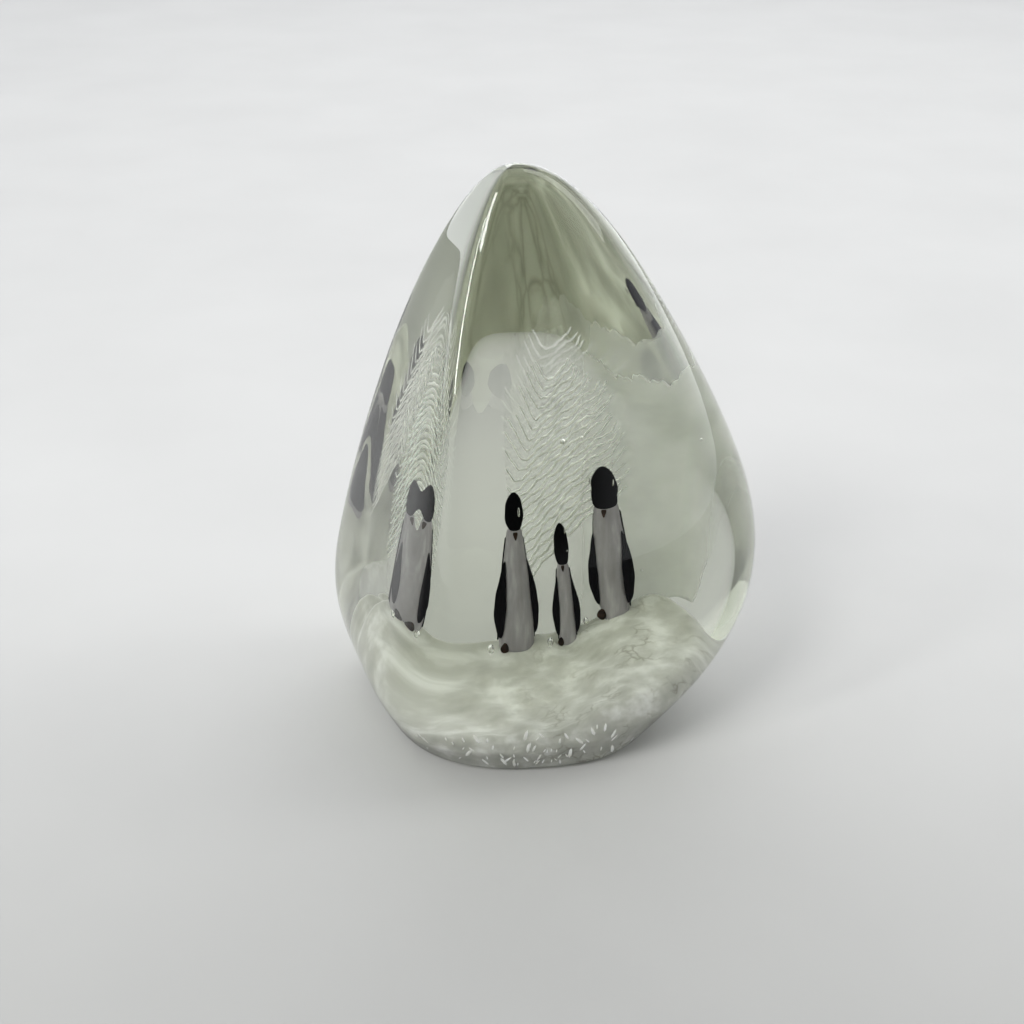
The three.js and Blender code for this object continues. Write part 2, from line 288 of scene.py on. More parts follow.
# Seed bubbles left in the gather, as hollows in the glass: place from the axis, radius, stretch upwards
seedBubbles = dict(
    finer=3,                                            # subdivisions of each ball
    inTheGlass=(
        ((0.9, 2, 56.5), 0.5, 1.1), ((4.1, 2, 57.3), 0.34, 1.0), ((1.9, 4, 54.6), 0.16, 1.4),
        ((23.5, 4, 54.5), 0.22, 1.0), ((-12.9, 3.6, 15.3), 0.5, 1.7), ((-2.2, 5.2, 15.6), 0.6, 1.5),
        ((4.5, 8.4, 18.1), 0.45, 1.5), ((-4.5, -3, 33), 0.14, 1.0), ((14.2, 1, 31), 0.18, 1.0),
        ((-17, 6, 47), 0.15, 1.2), ((9, -4, 24), 0.15, 1.0), ((2, -9, 40), 0.12, 1.0),
    ),
    onTheHeads=(
        ((-7.8, 5.9, 40.4), 0.24, 4.0), ((5.0, 10.2, 44.8), 0.17, 4.0), ((8.9, 9.5, 44.4), 0.16, 4.0),
        ((0.9, 6.9, 36.2), 0.16, 2.5),
    ),
)


def addBubbles(spec):
    bubbles = []
    for place, radius, stretch in spec["inTheGlass"] + spec["onTheHeads"]:
        clearSelection()
        bpy.ops.mesh.primitive_ico_sphere_add(
            subdivisions=spec["finer"], radius=radius * mm,
            location=(Vector(place) + axisPlace) * mm, scale=(1, 1, stretch),
        )
        bubble = bpy.context.object
        bpy.ops.object.transform_apply(location=True, rotation=True, scale=True)
        bpy.ops.object.mode_set(mode="EDIT")
        bpy.ops.mesh.select_all(action="SELECT")
        bpy.ops.mesh.flip_normals()                     # the skin of a hollow faces into it
        bpy.ops.object.mode_set(mode="OBJECT")
        bubbles.append(bubble)
    return bubbles


def clearGlassFirePolished():
    # hot-worked soda-lime glass, fire polished: water clear with a grey-green body, mirror smooth skin
    material, tree, shader = newMaterial("soda_lime_glass_fire_polished")
    shader.inputs["Base Color"].default_value = linear("#ffffff")
    shader.inputs["IOR"].default_value = 1.5
    shader.inputs["Transmission Weight"].default_value = 1
    where = addNode(tree, "TexCoord").outputs["Object"]
    handling = addNode(tree, "TexNoise", {"Vector": where}, {"Scale": perMetre(9), "Detail": 6})
    haze = addNode(tree, "MapRange", {"Value": handling.outputs["Fac"]},
                   {"From Min": 0.62, "From Max": 0.8, "To Min": 0, "To Max": 0.02})
    tree.links.new(haze.outputs["Result"], shader.inputs["Roughness"])     # faint finger haze
    body = addNode(tree, "VolumeAbsorption", (), {"Color": linear("#c6ccb1"), "Density": 13})
    tree.links.new(body.outputs["Volume"], tree.nodes["Material Output"].inputs["Volume"])
    return material


def makeGlass(spec):
    rings = spec["baseRings"] + spec["footRings"] + spec["sideRings"] + spec["capRings"]
    glass = ringBall(spec["around"], rings, eggRing)
    joinInto(glass, addBubbles(seedBubbles))
    return finishPiece(glass, "glass_egg", clearGlassFirePolished(), "clear_glass", "clear_glass")


makeGlass(glassEgg)
print("glass made")


# Snow: a mound of fused white frit on the base, with loose chips round its foot
snowBed = dict(
    height=13.38, slope=0.12, rise=4.2, step=14,              # highest at the right
    back=21.5, backFrom=0.2, rag=0.7, ragWaves=(17, 29), lumpHigh=0.25, lumpLong=12.6,
    backLine=11.4, backSkew=0.22, backFall=7, backOver=7,     # it drops away just behind the penguins
    leftLine=16, leftFall=6, leftOver=14,                     # and runs out to the left
    wall=3.4, under=0.6, rimShare=0.12,                       # clear glass round it and below it
    grain=2.6, grainHigh=0.16, wallGrain=1.2, wallBack=0.3,
    around=200, floorRings=6, wallRings=14, rimRings=14, crownRings=56,
)
fritChips = dict(
    count=64, seed=7, size=(0.9, 2.6), shape=(0.18, 0.2, 0.85),
    crushed=0.75, jagged=0.5, jags=3,
    middleTurn=-102, spread=26,                               # most lie round the front
    lowest=2, over=10, tilt=0.7,
    underSkin=0.9, offSnow=0.6,
)


def snowTop(x, y):
    s = snowBed
    wave = 2 * math.pi / s["lumpLong"]
    broad = math.sin(wave * x + 0.8) * math.cos(0.9 * wave * y)
    small = 0.7 * math.sin(wave * (1.6 * x + 1.2 * y))
    top = s["height"] + s["slope"] * y + s["rise"] * smoothStep(x, 0, s["step"])
    top += s["lumpHigh"] * (broad + small)
    line = s["backLine"] + s["backSkew"] * x
    top -= s["backFall"] * smoothStep(y, line, line + s["backOver"])
    return top - s["leftFall"] * smoothStep(-x, s["leftLine"], s["leftLine"] + s["leftOver"])


def snowReach(turn, z):
    s = snowBed
    side = eggRadius(turn, z) - s["wall"]
    if math.sin(turn) <= s["backFrom"]:
        return side
    coarse, fine = s["ragWaves"]
    ragged = s["back"] + s["rag"] * (math.sin(coarse * turn) + 0.7 * math.sin(fine * turn + 1))
    return min(side, ragged / math.sin(turn))


def grainAt(p):              # small lumps of the frit
    s = snowBed
    return s["grainHigh"] * (noise.noise(p / s["grain"]) + 0.5 * noise.noise(p * 2.3 / s["grain"]))


def snowRing(ring, turn):
    s = snowBed
    rim = snowReach(turn, 0.5 * s["height"])
    if ring <= s["floorRings"]:
        r = snowReach(turn, glassEgg["footRound"]) * ring / s["floorRings"]
        return Vector((math.cos(turn) * r, math.sin(turn) * r, s["under"]))
    ring -= s["floorRings"]
    edge = Vector((math.cos(turn) * rim, math.sin(turn) * rim, 0))
    half = 0.5 * snowTop(edge.x, edge.y)
    if ring <= s["wallRings"]:
        t = ring / s["wallRings"]
        r = mix(snowReach(turn, glassEgg["footRound"]), rim, t)
        p = Vector((math.cos(turn) * r, math.sin(turn) * r, mix(s["under"], half, t)))
        r += s["wallGrain"] * grainAt(p) - s["wallBack"]
        return Vector((math.cos(turn) * r, math.sin(turn) * r, p.z))
    ring -= s["wallRings"]
    crown = 1 - s["rimShare"]                           # the rim rounds over outside of this share
    if ring <= s["rimRings"]:
        a = math.pi / 2 * ring / s["rimRings"]
        share = crown + s["rimShare"] * math.cos(a)
        lift = 0.5 + 0.5 * math.sin(a)
    else:
        share = crown * (1 - (ring - s["rimRings"]) / s["crownRings"])
        lift = 1
    p = edge * share
    p.z = snowTop(p.x, p.y) * lift
    p.z += grainAt(p)
    return p


def addChips(spec):
    draw = random.Random(spec["seed"])
    chips = []
    clearSelection()
    bpy.ops.mesh.primitive_ico_sphere_add(subdivisions=1, radius=1)
    first = bpy.context.object
    for vertex in first.data.vertices:                  # one crushed chip, modelled once
        vertex.co *= spec["crushed"] + spec["jagged"] * noise.noise(vertex.co * spec["jags"])
    for _ in range(spec["count"]):
        turn = math.radians(draw.gauss(spec["middleTurn"], spec["spread"]))
        z = spec["lowest"] + spec["over"] * draw.random()
        depth = draw.uniform(spec["underSkin"], snowBed["wall"] - spec["offSnow"])
        size = mix(*spec["size"], draw.random() ** 2)
        place = eggPoint(turn, z, depth) + axisPlace
        chip = first.copy()
        chip.data = first.data.copy()
        scene.collection.objects.link(chip)
        tilt = draw.uniform(-spec["tilt"], spec["tilt"])
        lie = Matrix.Rotation(turn, 4, "Z") @ Matrix.Rotation(tilt, 4, "X")
        shape = Matrix.Diagonal([share * size * mm for share in spec["shape"]] + [1])
        chip.data.transform(Matrix.Translation(place * mm) @ lie @ shape)
        chips.append(chip)
    bpy.data.objects.remove(first)
    return chips


def whiteFritFused():
    # crushed white enamel glass, fused: cloudy white with grey hairlines where the grains did not close
    material, tree, shader = newMaterial("white_enamel_frit_fused")
    where = addNode(tree, "TexCoord").outputs["Object"]
    drift = addNode(tree, "TexNoise", {"Vector": where}, {"Scale": perMetre(5), "Detail": 6})
    push = addNode(tree, "VectorMath", {0: drift.outputs["Color"]}, {1: (0.5, 0.5, 0.5)},
                   operation="SUBTRACT")
    pull = addNode(tree, "VectorMath", {0: push.outputs[0]}, {"Scale": 7 * mm}, operation="SCALE")
    bent = addNode(tree, "VectorMath", {0: where, 1: pull.outputs[0]}, operation="ADD")
    cells = addNode(tree, "TexVoronoi", {"Vector": bent.outputs[0]}, {"Scale": perMetre(3)},
                    feature="DISTANCE_TO_EDGE")
    veins = addNode(tree, "ValToRGB", {"Fac": cells.outputs["Distance"]},
                    ramp=[(0.0, "#9c968a"), (0.05, "#d6d4ca"), (0.12, "#ffffff")])
    patches = addNode(tree, "TexNoise", {"Vector": where}, {"Scale": perMetre(7), "Detail": 4})
    along = addNode(tree, "SeparateXYZ", {"Vector": where})
    closed = addNode(tree, "MapRange", {"Value": along.outputs["X"]},
                     {"From Min": -10 * mm, "From Max": 6 * mm, "To Min": 0, "To Max": 0.7})
    ragged = addNode(tree, "MapRange", {"Value": patches.outputs["Fac"]},
                     {"From Min": 0.5, "From Max": 0.62, "To Min": 0, "To Max": 1})
    shown = addNode(tree, "Math", {0: ragged.outputs["Result"], 1: closed.outputs["Result"]},
                    operation="MULTIPLY")               # hairlines in patches, and none at the left
    mottle = addNode(tree, "ValToRGB", {"Fac": drift.outputs["Fac"]},
                     ramp=[(0.3, "#a6a69e"), (0.5, "#bcbcb5"), (0.68, "#e2e2df")])
    colour = addNode(tree, "Mix", {0: shown.outputs["Value"], 6: mottle.outputs["Color"],
                                   7: veins.outputs["Color"]}, data_type="RGBA", blend_type="MULTIPLY")
    tree.links.new(colour.outputs[2], shader.inputs["Base Color"])
    shader.inputs["Sheen Weight"].default_value = 1     # loose grains on top, whitest seen edge on
    shader.inputs["Sheen Roughness"].default_value = 0.5
    shader.inputs["Roughness"].default_value = 0.55
    shader.inputs["Specular IOR Level"].default_value = 0.05
    shader.inputs["Subsurface Weight"].default_value = 0.4
    shader.inputs["Subsurface Radius"].default_value = (1, 1, 0.9)
    shader.inputs["Subsurface Scale"].default_value = 2 * mm
    return material


def whiteFritLoose():
    # single chips that floated free of the bed: clean opaque white
    material, tree, shader = newMaterial("white_enamel_frit_loose")
    where = addNode(tree, "TexCoord").outputs["Object"]
    tone = addNode(tree, "TexNoise", {"Vector": where}, {"Scale": perMetre(2), "Detail": 2})
    colour = addNode(tree, "ValToRGB", {"Fac": tone.outputs["Fac"]},
                     ramp=[(0.35, "#f4f4ee"), (0.6, "#ffffff")])
    tree.links.new(colour.outputs["Color"], shader.inputs["Base Color"])
    shader.inputs["Roughness"].default_value = 0.5
    shader.inputs["Specular IOR Level"].default_value = 0.1
    return material


def makeSnow(spec, chipSpec):
    rings = spec["floorRings"] + spec["wallRings"] + spec["rimRings"] + spec["crownRings"]
    snow = ringBall(spec["around"], rings, snowRing)
    finishPiece(snow, "snow_frit", whiteFritFused(), "white_frit", "snow_bed")
    first, *others = addChips(chipSpec)
    finishPiece(joinInto(first, others), "frit_chips", whiteFritLoose(), "white_frit")


makeSnow(snowBed, fritChips)
print("snow made")


# Veil: a thin milky skin behind the penguins, densest right of the middle, with threads where it wrinkled
veil = dict(
    fromTurn=38, toTurn=116, inset=10, insetTop=4.6,
    top=60, peak=15, middle=0.58, spread=0.235,
    rag=0.84, fray=((40, 0, 1), (97, 1, 0.6), (211, 0, 0.5)),     # waves on its edge: count, start, share
    sunk=1.2, thickness=0.3, columns=200, rows=110,
    waveHigh=0.12, waveLong=7,
)
# each wrinkle is a lopsided V whose trough drifts with height
threads = dict(
    count=23, seed=3, lowest=13, pitch=2.25, radius=0.28, proud=0.2, steps=48, fewest=6,
    troughTurn=110, troughAt=43, troughDrift=-0.9, troughSoft=1.2, troughSeat=1.1,
    rightRise=0.34, leftRise=1.0,                     # mm for each degree of turn
    rightEnd=64, rightEndTop=76, narrowing=(45, 63), endSpread=(-2, 3),
    leftLeg=9, legSpread=3, overTop=1,
    hookHigh=1.1, hookLong=1.6,                       # the right end turns up
    wavy=0.28, wavyStep=0.55, crinkle=0.12, crinkleStep=1.7, thinEnd=0.3,
)


def veilTop(s):
    v = veil
    peak = math.exp(-(((s - v["middle"]) / v["spread"]) ** 2))
    frayed = sum(share * math.sin(count * s + start) for count, start, share in v["fray"])
    return v["top"] + v["peak"] * peak + v["rag"] * frayed


def veilPoint(turn, z, out=0):   # out stands proud of the veil, towards the penguins
    v = veil
    share = smoothStep(z, 0.5 * snowBed["height"], v["top"])
    inset = mix(v["inset"], v["insetTop"], share) + out
    return eggPoint(math.radians(turn), max(glassEgg["footRound"], z), inset)


def whiteVeilDrawn():
    # white enamel drawn out to a skin in the heat: milky in one upright band, all but clear beside it
    material, tree, shader = newMaterial("white_enamel_veil_drawn")
    where = addNode(tree, "TexCoord").outputs["Object"]
    cloud = addNode(tree, "TexNoise", {"Vector": where}, {"Scale": perMetre(9), "Detail": 4})
    colour = addNode(tree, "ValToRGB", {"Fac": cloud.outputs["Fac"]},
                     ramp=[(0.3, "#bcbfb6"), (0.7, "#d6d8d2")])
    tree.links.new(colour.outputs["Color"], shader.inputs["Base Color"])
    along = addNode(tree, "SeparateXYZ", {"Vector": where})
    across = addNode(tree, "MapRange", {"Value": along.outputs["X"]},
                     {"From Min": 0, "From Max": 25 * mm, "To Min": 0, "To Max": 1})
    milk = addNode(tree, "ValToRGB", {"Fac": across.outputs["Result"]},
                   ramp=[(0.08, "#464646"), (0.68, "#cccccc"), (0.78, "#cccccc"), (0.96, "#464646")])
    tree.links.new(milk.outputs["Color"], shader.inputs["Alpha"])
    shader.inputs["Roughness"].default_value = 0.6
    shader.inputs["Specular IOR Level"].default_value = 0.02
    shader.inputs["Subsurface Weight"].default_value = 1
    shader.inputs["Subsurface Radius"].default_value = (1, 1, 1)
    shader.inputs["Subsurface Scale"].default_value = 1.5 * mm
    return material


def whiteThreadPulled():
    # the same white enamel pulled thin along the wrinkles: opaque, soft bright lines
    material, tree, shader = newMaterial("white_enamel_thread_pulled")
    where = addNode(tree, "TexCoord").outputs["Object"]
    beads = addNode(tree, "TexNoise", {"Vector": where}, {"Scale": perMetre(3), "Detail": 3})
    colour = addNode(tree, "ValToRGB", {"Fac": beads.outputs["Fac"]},
                     ramp=[(0.3, "#f0f1ec"), (0.65, "#ffffff")])
    tree.links.new(colour.outputs["Color"], shader.inputs["Base Color"])
    thin = addNode(tree, "MapRange", {"Value": beads.outputs["Fac"]},
                   {"From Min": 0.3, "From Max": 0.6, "To Min": 0.7, "To Max": 1})
    tree.links.new(thin.outputs["Result"], shader.inputs["Alpha"])
    shader.inputs["Roughness"].default_value = 0.6
    shader.inputs["Specular IOR Level"].default_value = 0.02
    shader.inputs["Subsurface Weight"].default_value = 0.9
    shader.inputs["Subsurface Radius"].default_value = (1, 1, 1)
    shader.inputs["Subsurface Scale"].default_value = 1.2 * mm
    return material


def makeVeil(spec):
    clearSelection()
    bpy.ops.mesh.primitive_grid_add(x_subdivisions=spec["columns"], y_subdivisions=spec["rows"], size=2)
    skin = bpy.context.object
    for vertex in skin.data.vertices:
        s = (vertex.co.x + 1) / 2
        up = (vertex.co.y + 1) / 2
        turn = mix(spec["fromTurn"], spec["toTurn"], s)
        root = veilPoint(turn, snowBed["height"])
        z = mix(snowTop(root.x, root.y) - spec["sunk"], veilTop(s), up)
        wave = spec["waveHigh"] * math.sin(2 * math.pi * z / spec["waveLong"] + 3 * s)
        vertex.co = (veilPoint(turn, z, wave) + axisPlace) * mm
    applyModifier(skin, "SOLIDIFY", thickness=spec["thickness"] * mm, offset=0)
    faceOutwards(skin)
    return finishPiece(skin, "veil_skin", whiteVeilDrawn(), "white_veil", "ripple_veil")


def threadPath(low, draw):       # from its hooked right end through the trough to its short left leg
    h = threads
    trough = h["troughTurn"] + h["troughDrift"] * (low - h["troughAt"])
    end = mix(h["rightEnd"], h["rightEndTop"], smoothStep(low, *h["narrowing"]))
    end += draw.uniform(*h["endSpread"])
    last = min(veil["toTurn"], trough + h["leftLeg"] - draw.uniform(0, h["legSpread"]))
    phase = draw.uniform(0, 6.3)     # anywhere in a full wave
    points = []
    for i in range(h["steps"] + 1):
        turn = mix(end, last, i / h["steps"])
        away = trough - turn
        leg = h["rightRise"] * away if away > 0 else -h["leftRise"] * away
        hook = h["hookHigh"] * math.exp(-(((turn - end) / h["hookLong"]) ** 2))
        wavy = h["wavy"] * math.sin(h["wavyStep"] * turn + phase)
        wavy += h["crinkle"] * math.sin(h["crinkleStep"] * turn + 2 * phase)
        z = low + math.sqrt(leg * leg + h["troughSoft"]) - h["troughSeat"] + wavy + hook
        s = (turn - veil["fromTurn"]) / (veil["toTurn"] - veil["fromTurn"])
        if z < veilTop(s) + h["overTop"]:
            points.append((veilPoint(turn, z, h["proud"]) + axisPlace) * mm)
    return points


def makeThreads(spec):
    line = bpy.data.curves.new("veil_threads", "CURVE")
    line.dimensions = "3D"
    line.bevel_depth = spec["radius"] * mm
    line.bevel_resolution = 2
    line.use_fill_caps = True
    draw = random.Random(spec["seed"])
    for k in range(spec["count"]):
        points = threadPath(spec["lowest"] + k * spec["pitch"], draw)
        if len(points) < spec["fewest"]:
            continue
        thread = line.splines.new("POLY")
        thread.points.add(len(points) - 1)
        for i, point in enumerate(points):
            thread.points[i].co = (*point, 1)
            swell = math.sin(3.1 * i / (len(points) - 1)) ** 0.5
            thread.points[i].radius = mix(spec["thinEnd"], 1, swell)
    piece = bpy.data.objects.new("veil_threads", line)
    scene.collection.objects.link(piece)
    clearSelection()
    piece.select_set(True)
    bpy.context.view_layer.objects.active = piece
    bpy.ops.object.convert(target="MESH")
    return finishPiece(bpy.context.object, "veil_threads", whiteThreadPulled(), "white_veil")


makeVeil(veil)
makeThreads(threads)
print("veil made")


# Penguins: lampworked one bit at a time, each stands where its solid does, sizes are shares of its height
penguinForms = dict(
    left_penguin=dict(turn=10, belly=0.108, seat=0.092, neck=0.043, low=0.12, bow=1.35,
                      head=0.055, hood=0.245, jaw=0.6, ahead=(24, 2)),
    middle_penguin=dict(turn=5, belly=0.075, seat=0.056, neck=0.045, low=0.35, bow=1.5,
                        head=0.06, hood=0.335, jaw=0.75, ahead=(20, 4)),
    right_penguin=dict(turn=-5, belly=0.089, seat=0.05, neck=0.066, low=0.42, bow=1.8,
                       head=0.072, hood=0.265, jaw=0.96, ahead=(22, 18)),
)
penguinBits = dict(
    flatness=0.92, segments=28, nod=4,
    coatThick=0.16, coatGap=0.06, coatFrom=0.1, coatTo=0.92, coatRings=10, coatOpening=0.15,
    beak=dict(radius=0.016, long=0.05, drop=62),
    flipper=dict(thick=0.046, deep=0.1, long=0.46, middle=0.34, taper=0.5, taperFrom=-0.35, bulge=0.8),
    foot=dict(wide=0.044, long=0.055, thick=0.066, aside=46, pinch=0.25, toes=0.2, lift=0.2), sink=1.4,
    uneven=dict(body=(0.06, 5), head=(0.09, 2.2), flipper=(0.04, 3), foot=(0.05, 1)),    # share, size in mm
)


def penguinPlace(name, form):    # upright frame of a penguin, from the boxes of its belly and head
    bellyLow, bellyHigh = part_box(name + "_belly")
    headLow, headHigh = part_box(name + "_head")
    belly = (bellyLow + bellyHigh) / 2
    head = (headLow + headHigh) / 2
    lean = math.atan2(head.x - belly.x, head.z - belly.z)
    root = belly - Matrix.Rotation(lean, 3, "Y") @ Vector((0, 0, (bellyHigh.z - bellyLow.z) / 2))
    tall = (headHigh.z - bellyLow.z) / mm
    turn = Matrix.Rotation(math.radians(form["turn"]), 4, "Z")
    flat = Matrix.Diagonal((1, penguinBits["flatness"], 1, 1))
    return Matrix.Translation(root) @ Matrix.Rotation(lean, 4, "Y") @ turn @ flat, tall


def turned(profile, closed=True):    # rings pulled up one after another from a circle
    clearSelection()
    (radius, height), *rest = profile
    bpy.ops.mesh.primitive_circle_add(
        vertices=penguinBits["segments"], radius=radius * mm, location=(0, 0, height * mm),
        fill_type="NGON" if closed else "NOTHING",
    )
    piece = bpy.context.object
    bpy.ops.object.transform_apply(location=True)
    bpy.ops.object.mode_set(mode="EDIT")
    for nextRadius, nextHeight in rest:
        step = (0, 0, (nextHeight - height) * mm)
        if closed:
            bpy.ops.mesh.extrude_region_move(TRANSFORM_OT_translate={"value": step})
        else:
            bpy.ops.mesh.extrude_edges_move(TRANSFORM_OT_translate={"value": step})
        wide = nextRadius / radius
        bpy.ops.transform.resize(value=(wide, wide, 1), center_override=(0, 0, nextHeight * mm))
        radius, height = nextRadius, nextHeight
    bpy.ops.object.mode_set(mode="OBJECT")
    faceOutwards(piece)
    return piece


def unevenly(piece, amount, size):   # a bead of glass never sets quite true
    for vertex in piece.data.vertices:
        vertex.co.xy *= 1 + amount * noise.noise(vertex.co * perMetre(size))


def flank(form, tall, share):        # half width of the body, share runs from its underside to its neck
    share = min(1, max(0, share))
    if share < form["low"]:
        swell = math.sin(math.pi / 2 * math.sqrt(share / form["low"]))
        return tall * mix(form["seat"], form["belly"], swell)
    return tall * mix(form["belly"], form["neck"], ((share - form["low"]) / (1 - form["low"])) ** form["bow"])


def bodyTall(form, tall):
    return tall * (1 - form["hood"])


def bellyBit(form, tall):
    shares = (0.005, 0.03, 0.08, 0.16, 0.26, 0.37, 0.5, 0.63, 0.76, 0.88, 0.97, 1)
    side = [(flank(form, tall, s), s * bodyTall(form, tall)) for s in shares]
    piece = turned([(0.6 * side[0][0], 0)] + side + [(0.5 * side[-1][0], bodyTall(form, tall) + 0.3)])
    applyModifier(piece, "SUBSURF", levels=1, render_levels=1)
    unevenly(piece, *penguinBits["uneven"]["body"])
    return piece


def coatBit(form, tall):
    b = penguinBits
    last = b["coatRings"] - 1
    shares = [mix(b["coatFrom"], b["coatTo"], i / last) for i in range(b["coatRings"])]
    side = [(flank(form, tall, s) + b["coatGap"], s * bodyTall(form, tall)) for s in shares]
    piece = turned(side, closed=False)
    bpy.ops.object.mode_set(mode="EDIT")
    bpy.ops.mesh.select_all(action="SELECT")
    behind = b["coatOpening"] * form["belly"] * tall * mm
    # cut open at the front
    bpy.ops.mesh.bisect(plane_co=(0, behind, 0), plane_no=(0, -1, 0), clear_outer=True)
    bpy.ops.object.mode_set(mode="OBJECT")
    applyModifier(piece, "SOLIDIFY", thickness=b["coatThick"] * mm, offset=1)
    unevenly(piece, *penguinBits["uneven"]["body"])
    return piece


def headBit(form, tall):
    h = form["hood"] * tall
    wide = form["head"] * tall
    side = [(form["jaw"], 0.0), (0.97, 0.2), (1, 0.4), (0.9, 0.65), (0.66, 0.85), (0.34, 0.96)]
    profile = [(0.6 * form["jaw"] * wide, -0.03 * h)] + [(r * wide, s * h) for r, s in side]
    piece = turned(profile + [(0.1 * wide, h)])
    applyModifier(piece, "SUBSURF", levels=2, render_levels=2)
    unevenly(piece, *penguinBits["uneven"]["head"])
    nod = Matrix.Rotation(math.radians(penguinBits["nod"]), 4, "X")
    piece.data.transform(Matrix.Translation((0, 0, (tall - h) * mm)) @ nod)
    return piece


def beakBit(form, tall):
    beak = penguinBits["beak"]
    r = beak["radius"] * tall
    long = beak["long"] * tall
    side = [(0.6, 0), (1, 0.1), (0.72, 0.5), (0.3, 0.88), (0.08, 1)]
    piece = turned([(wide * r, along * long) for wide, along in side])
    applyModifier(piece, "SUBSURF", levels=1, render_levels=1)
    out = max(form["neck"], form["jaw"] * form["head"]) * tall
    drop = Matrix.Rotation(math.radians(90 + beak["drop"]), 4, "X")
    piece.data.transform(Matrix.Translation(Vector((0, -out, tall * (1 - form["hood"]))) * mm) @ drop)
    return piece


def flipperBit(form, tall, side):
    f = penguinBits["flipper"]
    ahead = form["ahead"][0 if side < 0 else 1]          # degrees forward of the flank
    clearSelection()
    bpy.ops.mesh.primitive_uv_sphere_add(segments=24, ring_count=28, radius=1)
    piece = bpy.context.object
    for vertex in piece.data.vertices:                   # a leaf wrapped on the flank, point up
        x, y, z = vertex.co
        leaf = 1 - f["taper"] * smoothStep(z, f["taperFrom"], 1)
        up = (f["middle"] + 0.5 * f["long"] * z) * tall
        swell = f["bulge"] * math.sqrt(max(0, 1 - z * z))
        r = flank(form, tall, up / bodyTall(form, tall)) + 0.5 * f["thick"] * tall * leaf * (x + swell)
        turn = math.radians(ahead) + 0.5 * f["deep"] * tall * leaf * y / max(r, 1)
        vertex.co = Vector((side * r * math.cos(turn), -r * math.sin(turn), up)) * mm
    unevenly(piece, *penguinBits["uneven"]["flipper"])
    faceOutwards(piece)
    return piece


def footBit(form, tall):
    f = penguinBits["foot"]
    clearSelection()
    bpy.ops.mesh.primitive_uv_sphere_add(segments=20, ring_count=14, radius=1)
    piece = bpy.context.object
    for vertex in piece.data.vertices:                   # a pinched bead, wider at the toes
        x, y, z = vertex.co
        vertex.co = (x * (1 - f["pinch"] * y), y, z * (1 + f["toes"] * y))
    size = Matrix.Diagonal([0.5 * f[k] * tall * mm for k in ("wide", "long", "thick")] + [1])
    out = Vector((0, -form["belly"] * tall, penguinBits["sink"] + f["lift"] * f["thick"] * tall)) * mm
    piece.data.transform(Matrix.Rotation(math.radians(-f["aside"]), 4, "Z") @ Matrix.Translation(out) @ size)
    unevenly(piece, *penguinBits["uneven"]["foot"])
    return piece


def opalGlassLampworked():
    # opal rod melted to a bead: milky grey with soft streaks drawn along it
    material, tree, shader = newMaterial("opal_glass_lampworked")
    where = addNode(tree, "TexCoord").outputs["Object"]
    pulled = addNode(tree, "Mapping", {"Vector": where}, {"Scale": (1, 1, 0.2)})
    streaks = addNode(tree, "TexNoise", {"Vector": pulled.outputs["Vector"]},
                      {"Scale": perMetre(1.4), "Detail": 4})
    colour = addNode(tree, "ValToRGB", {"Fac": streaks.outputs["Fac"]},
                     ramp=[(0.3, "#8b878b"), (0.55, "#99959a"), (0.75, "#afacb0")])
    tree.links.new(colour.outputs["Color"], shader.inputs["Base Color"])
    shader.inputs["Roughness"].default_value = 0.25
    shader.inputs["Specular IOR Level"].default_value = 0.05
    shader.inputs["Subsurface Weight"].default_value = 0.2
    shader.inputs["Subsurface Radius"].default_value = (1, 1, 1)
    shader.inputs["Subsurface Scale"].default_value = 1 * mm
    return material


def blackGlassLampworked():
    # black rod melted on: dead black where the clear glass wets it, pin-prick gas marks on the skin
    material, tree, shader = newMaterial("black_glass_lampworked")
    where = addNode(tree, "TexCoord").outputs["Object"]
    pits = addNode(tree, "TexVoronoi", {"Vector": where}, {"Scale": perMetre(2.4)})
    marks = addNode(tree, "ValToRGB", {"Fac": pits.outputs["Distance"]},
                    ramp=[(0.0, "#9a9da2"), (0.03, "#121316"), (0.05, "#040405")])
    tree.links.new(marks.outputs["Color"], shader.inputs["Base Color"])
    shader.inputs["Roughness"].default_value = 0.12
    shader.inputs["Specular IOR Level"].default_value = 0
    return material


def brownGlassLampworked():
    # dark amber rod: deep brown, warm where it is thin
    material, tree, shader = newMaterial("amber_brown_glass_lampworked")
    where = addNode(tree, "TexCoord").outputs["Object"]
    depth = addNode(tree, "TexNoise", {"Vector": where}, {"Scale": perMetre(1.1), "Detail": 3})
    colour = addNode(tree, "ValToRGB", {"Fac": depth.outputs["Fac"]},
                     ramp=[(0.35, "#130c07"), (0.65, "#33231a")])
    tree.links.new(colour.outputs["Color"], shader.inputs["Base Color"])
    shader.inputs["Roughness"].default_value = 0.18
    shader.inputs["Specular IOR Level"].default_value = 0.05
    return material


def makePenguins():
    opal = opalGlassLampworked()
    black = blackGlassLampworked()
    brown = brownGlassLampworked()
    for name, form in penguinForms.items():
        place, tall = penguinPlace(name, form)
        bits = dict(
            belly=(bellyBit(form, tall), opal, "white_glass"),
            coat=(coatBit(form, tall), black, "black_glass"),
            head=(headBit(form, tall), black, "black_glass"),
            beak=(beakBit(form, tall), brown, "brown_glass"),
            left_flipper=(flipperBit(form, tall, -1), black, "black_glass"),
            right_flipper=(flipperBit(form, tall, 1), black, "black_glass"),
            foot=(footBit(form, tall), brown, "brown_glass"),
        )
        for bit, (piece, material, slotName) in bits.items():
            piece.data.transform(place)
            finishPiece(piece, f"{name}_{bit}_glass", material, slotName, f"{name}_{bit}")
        print(name, "made,", round(tall, 1), "mm tall")


makePenguins()


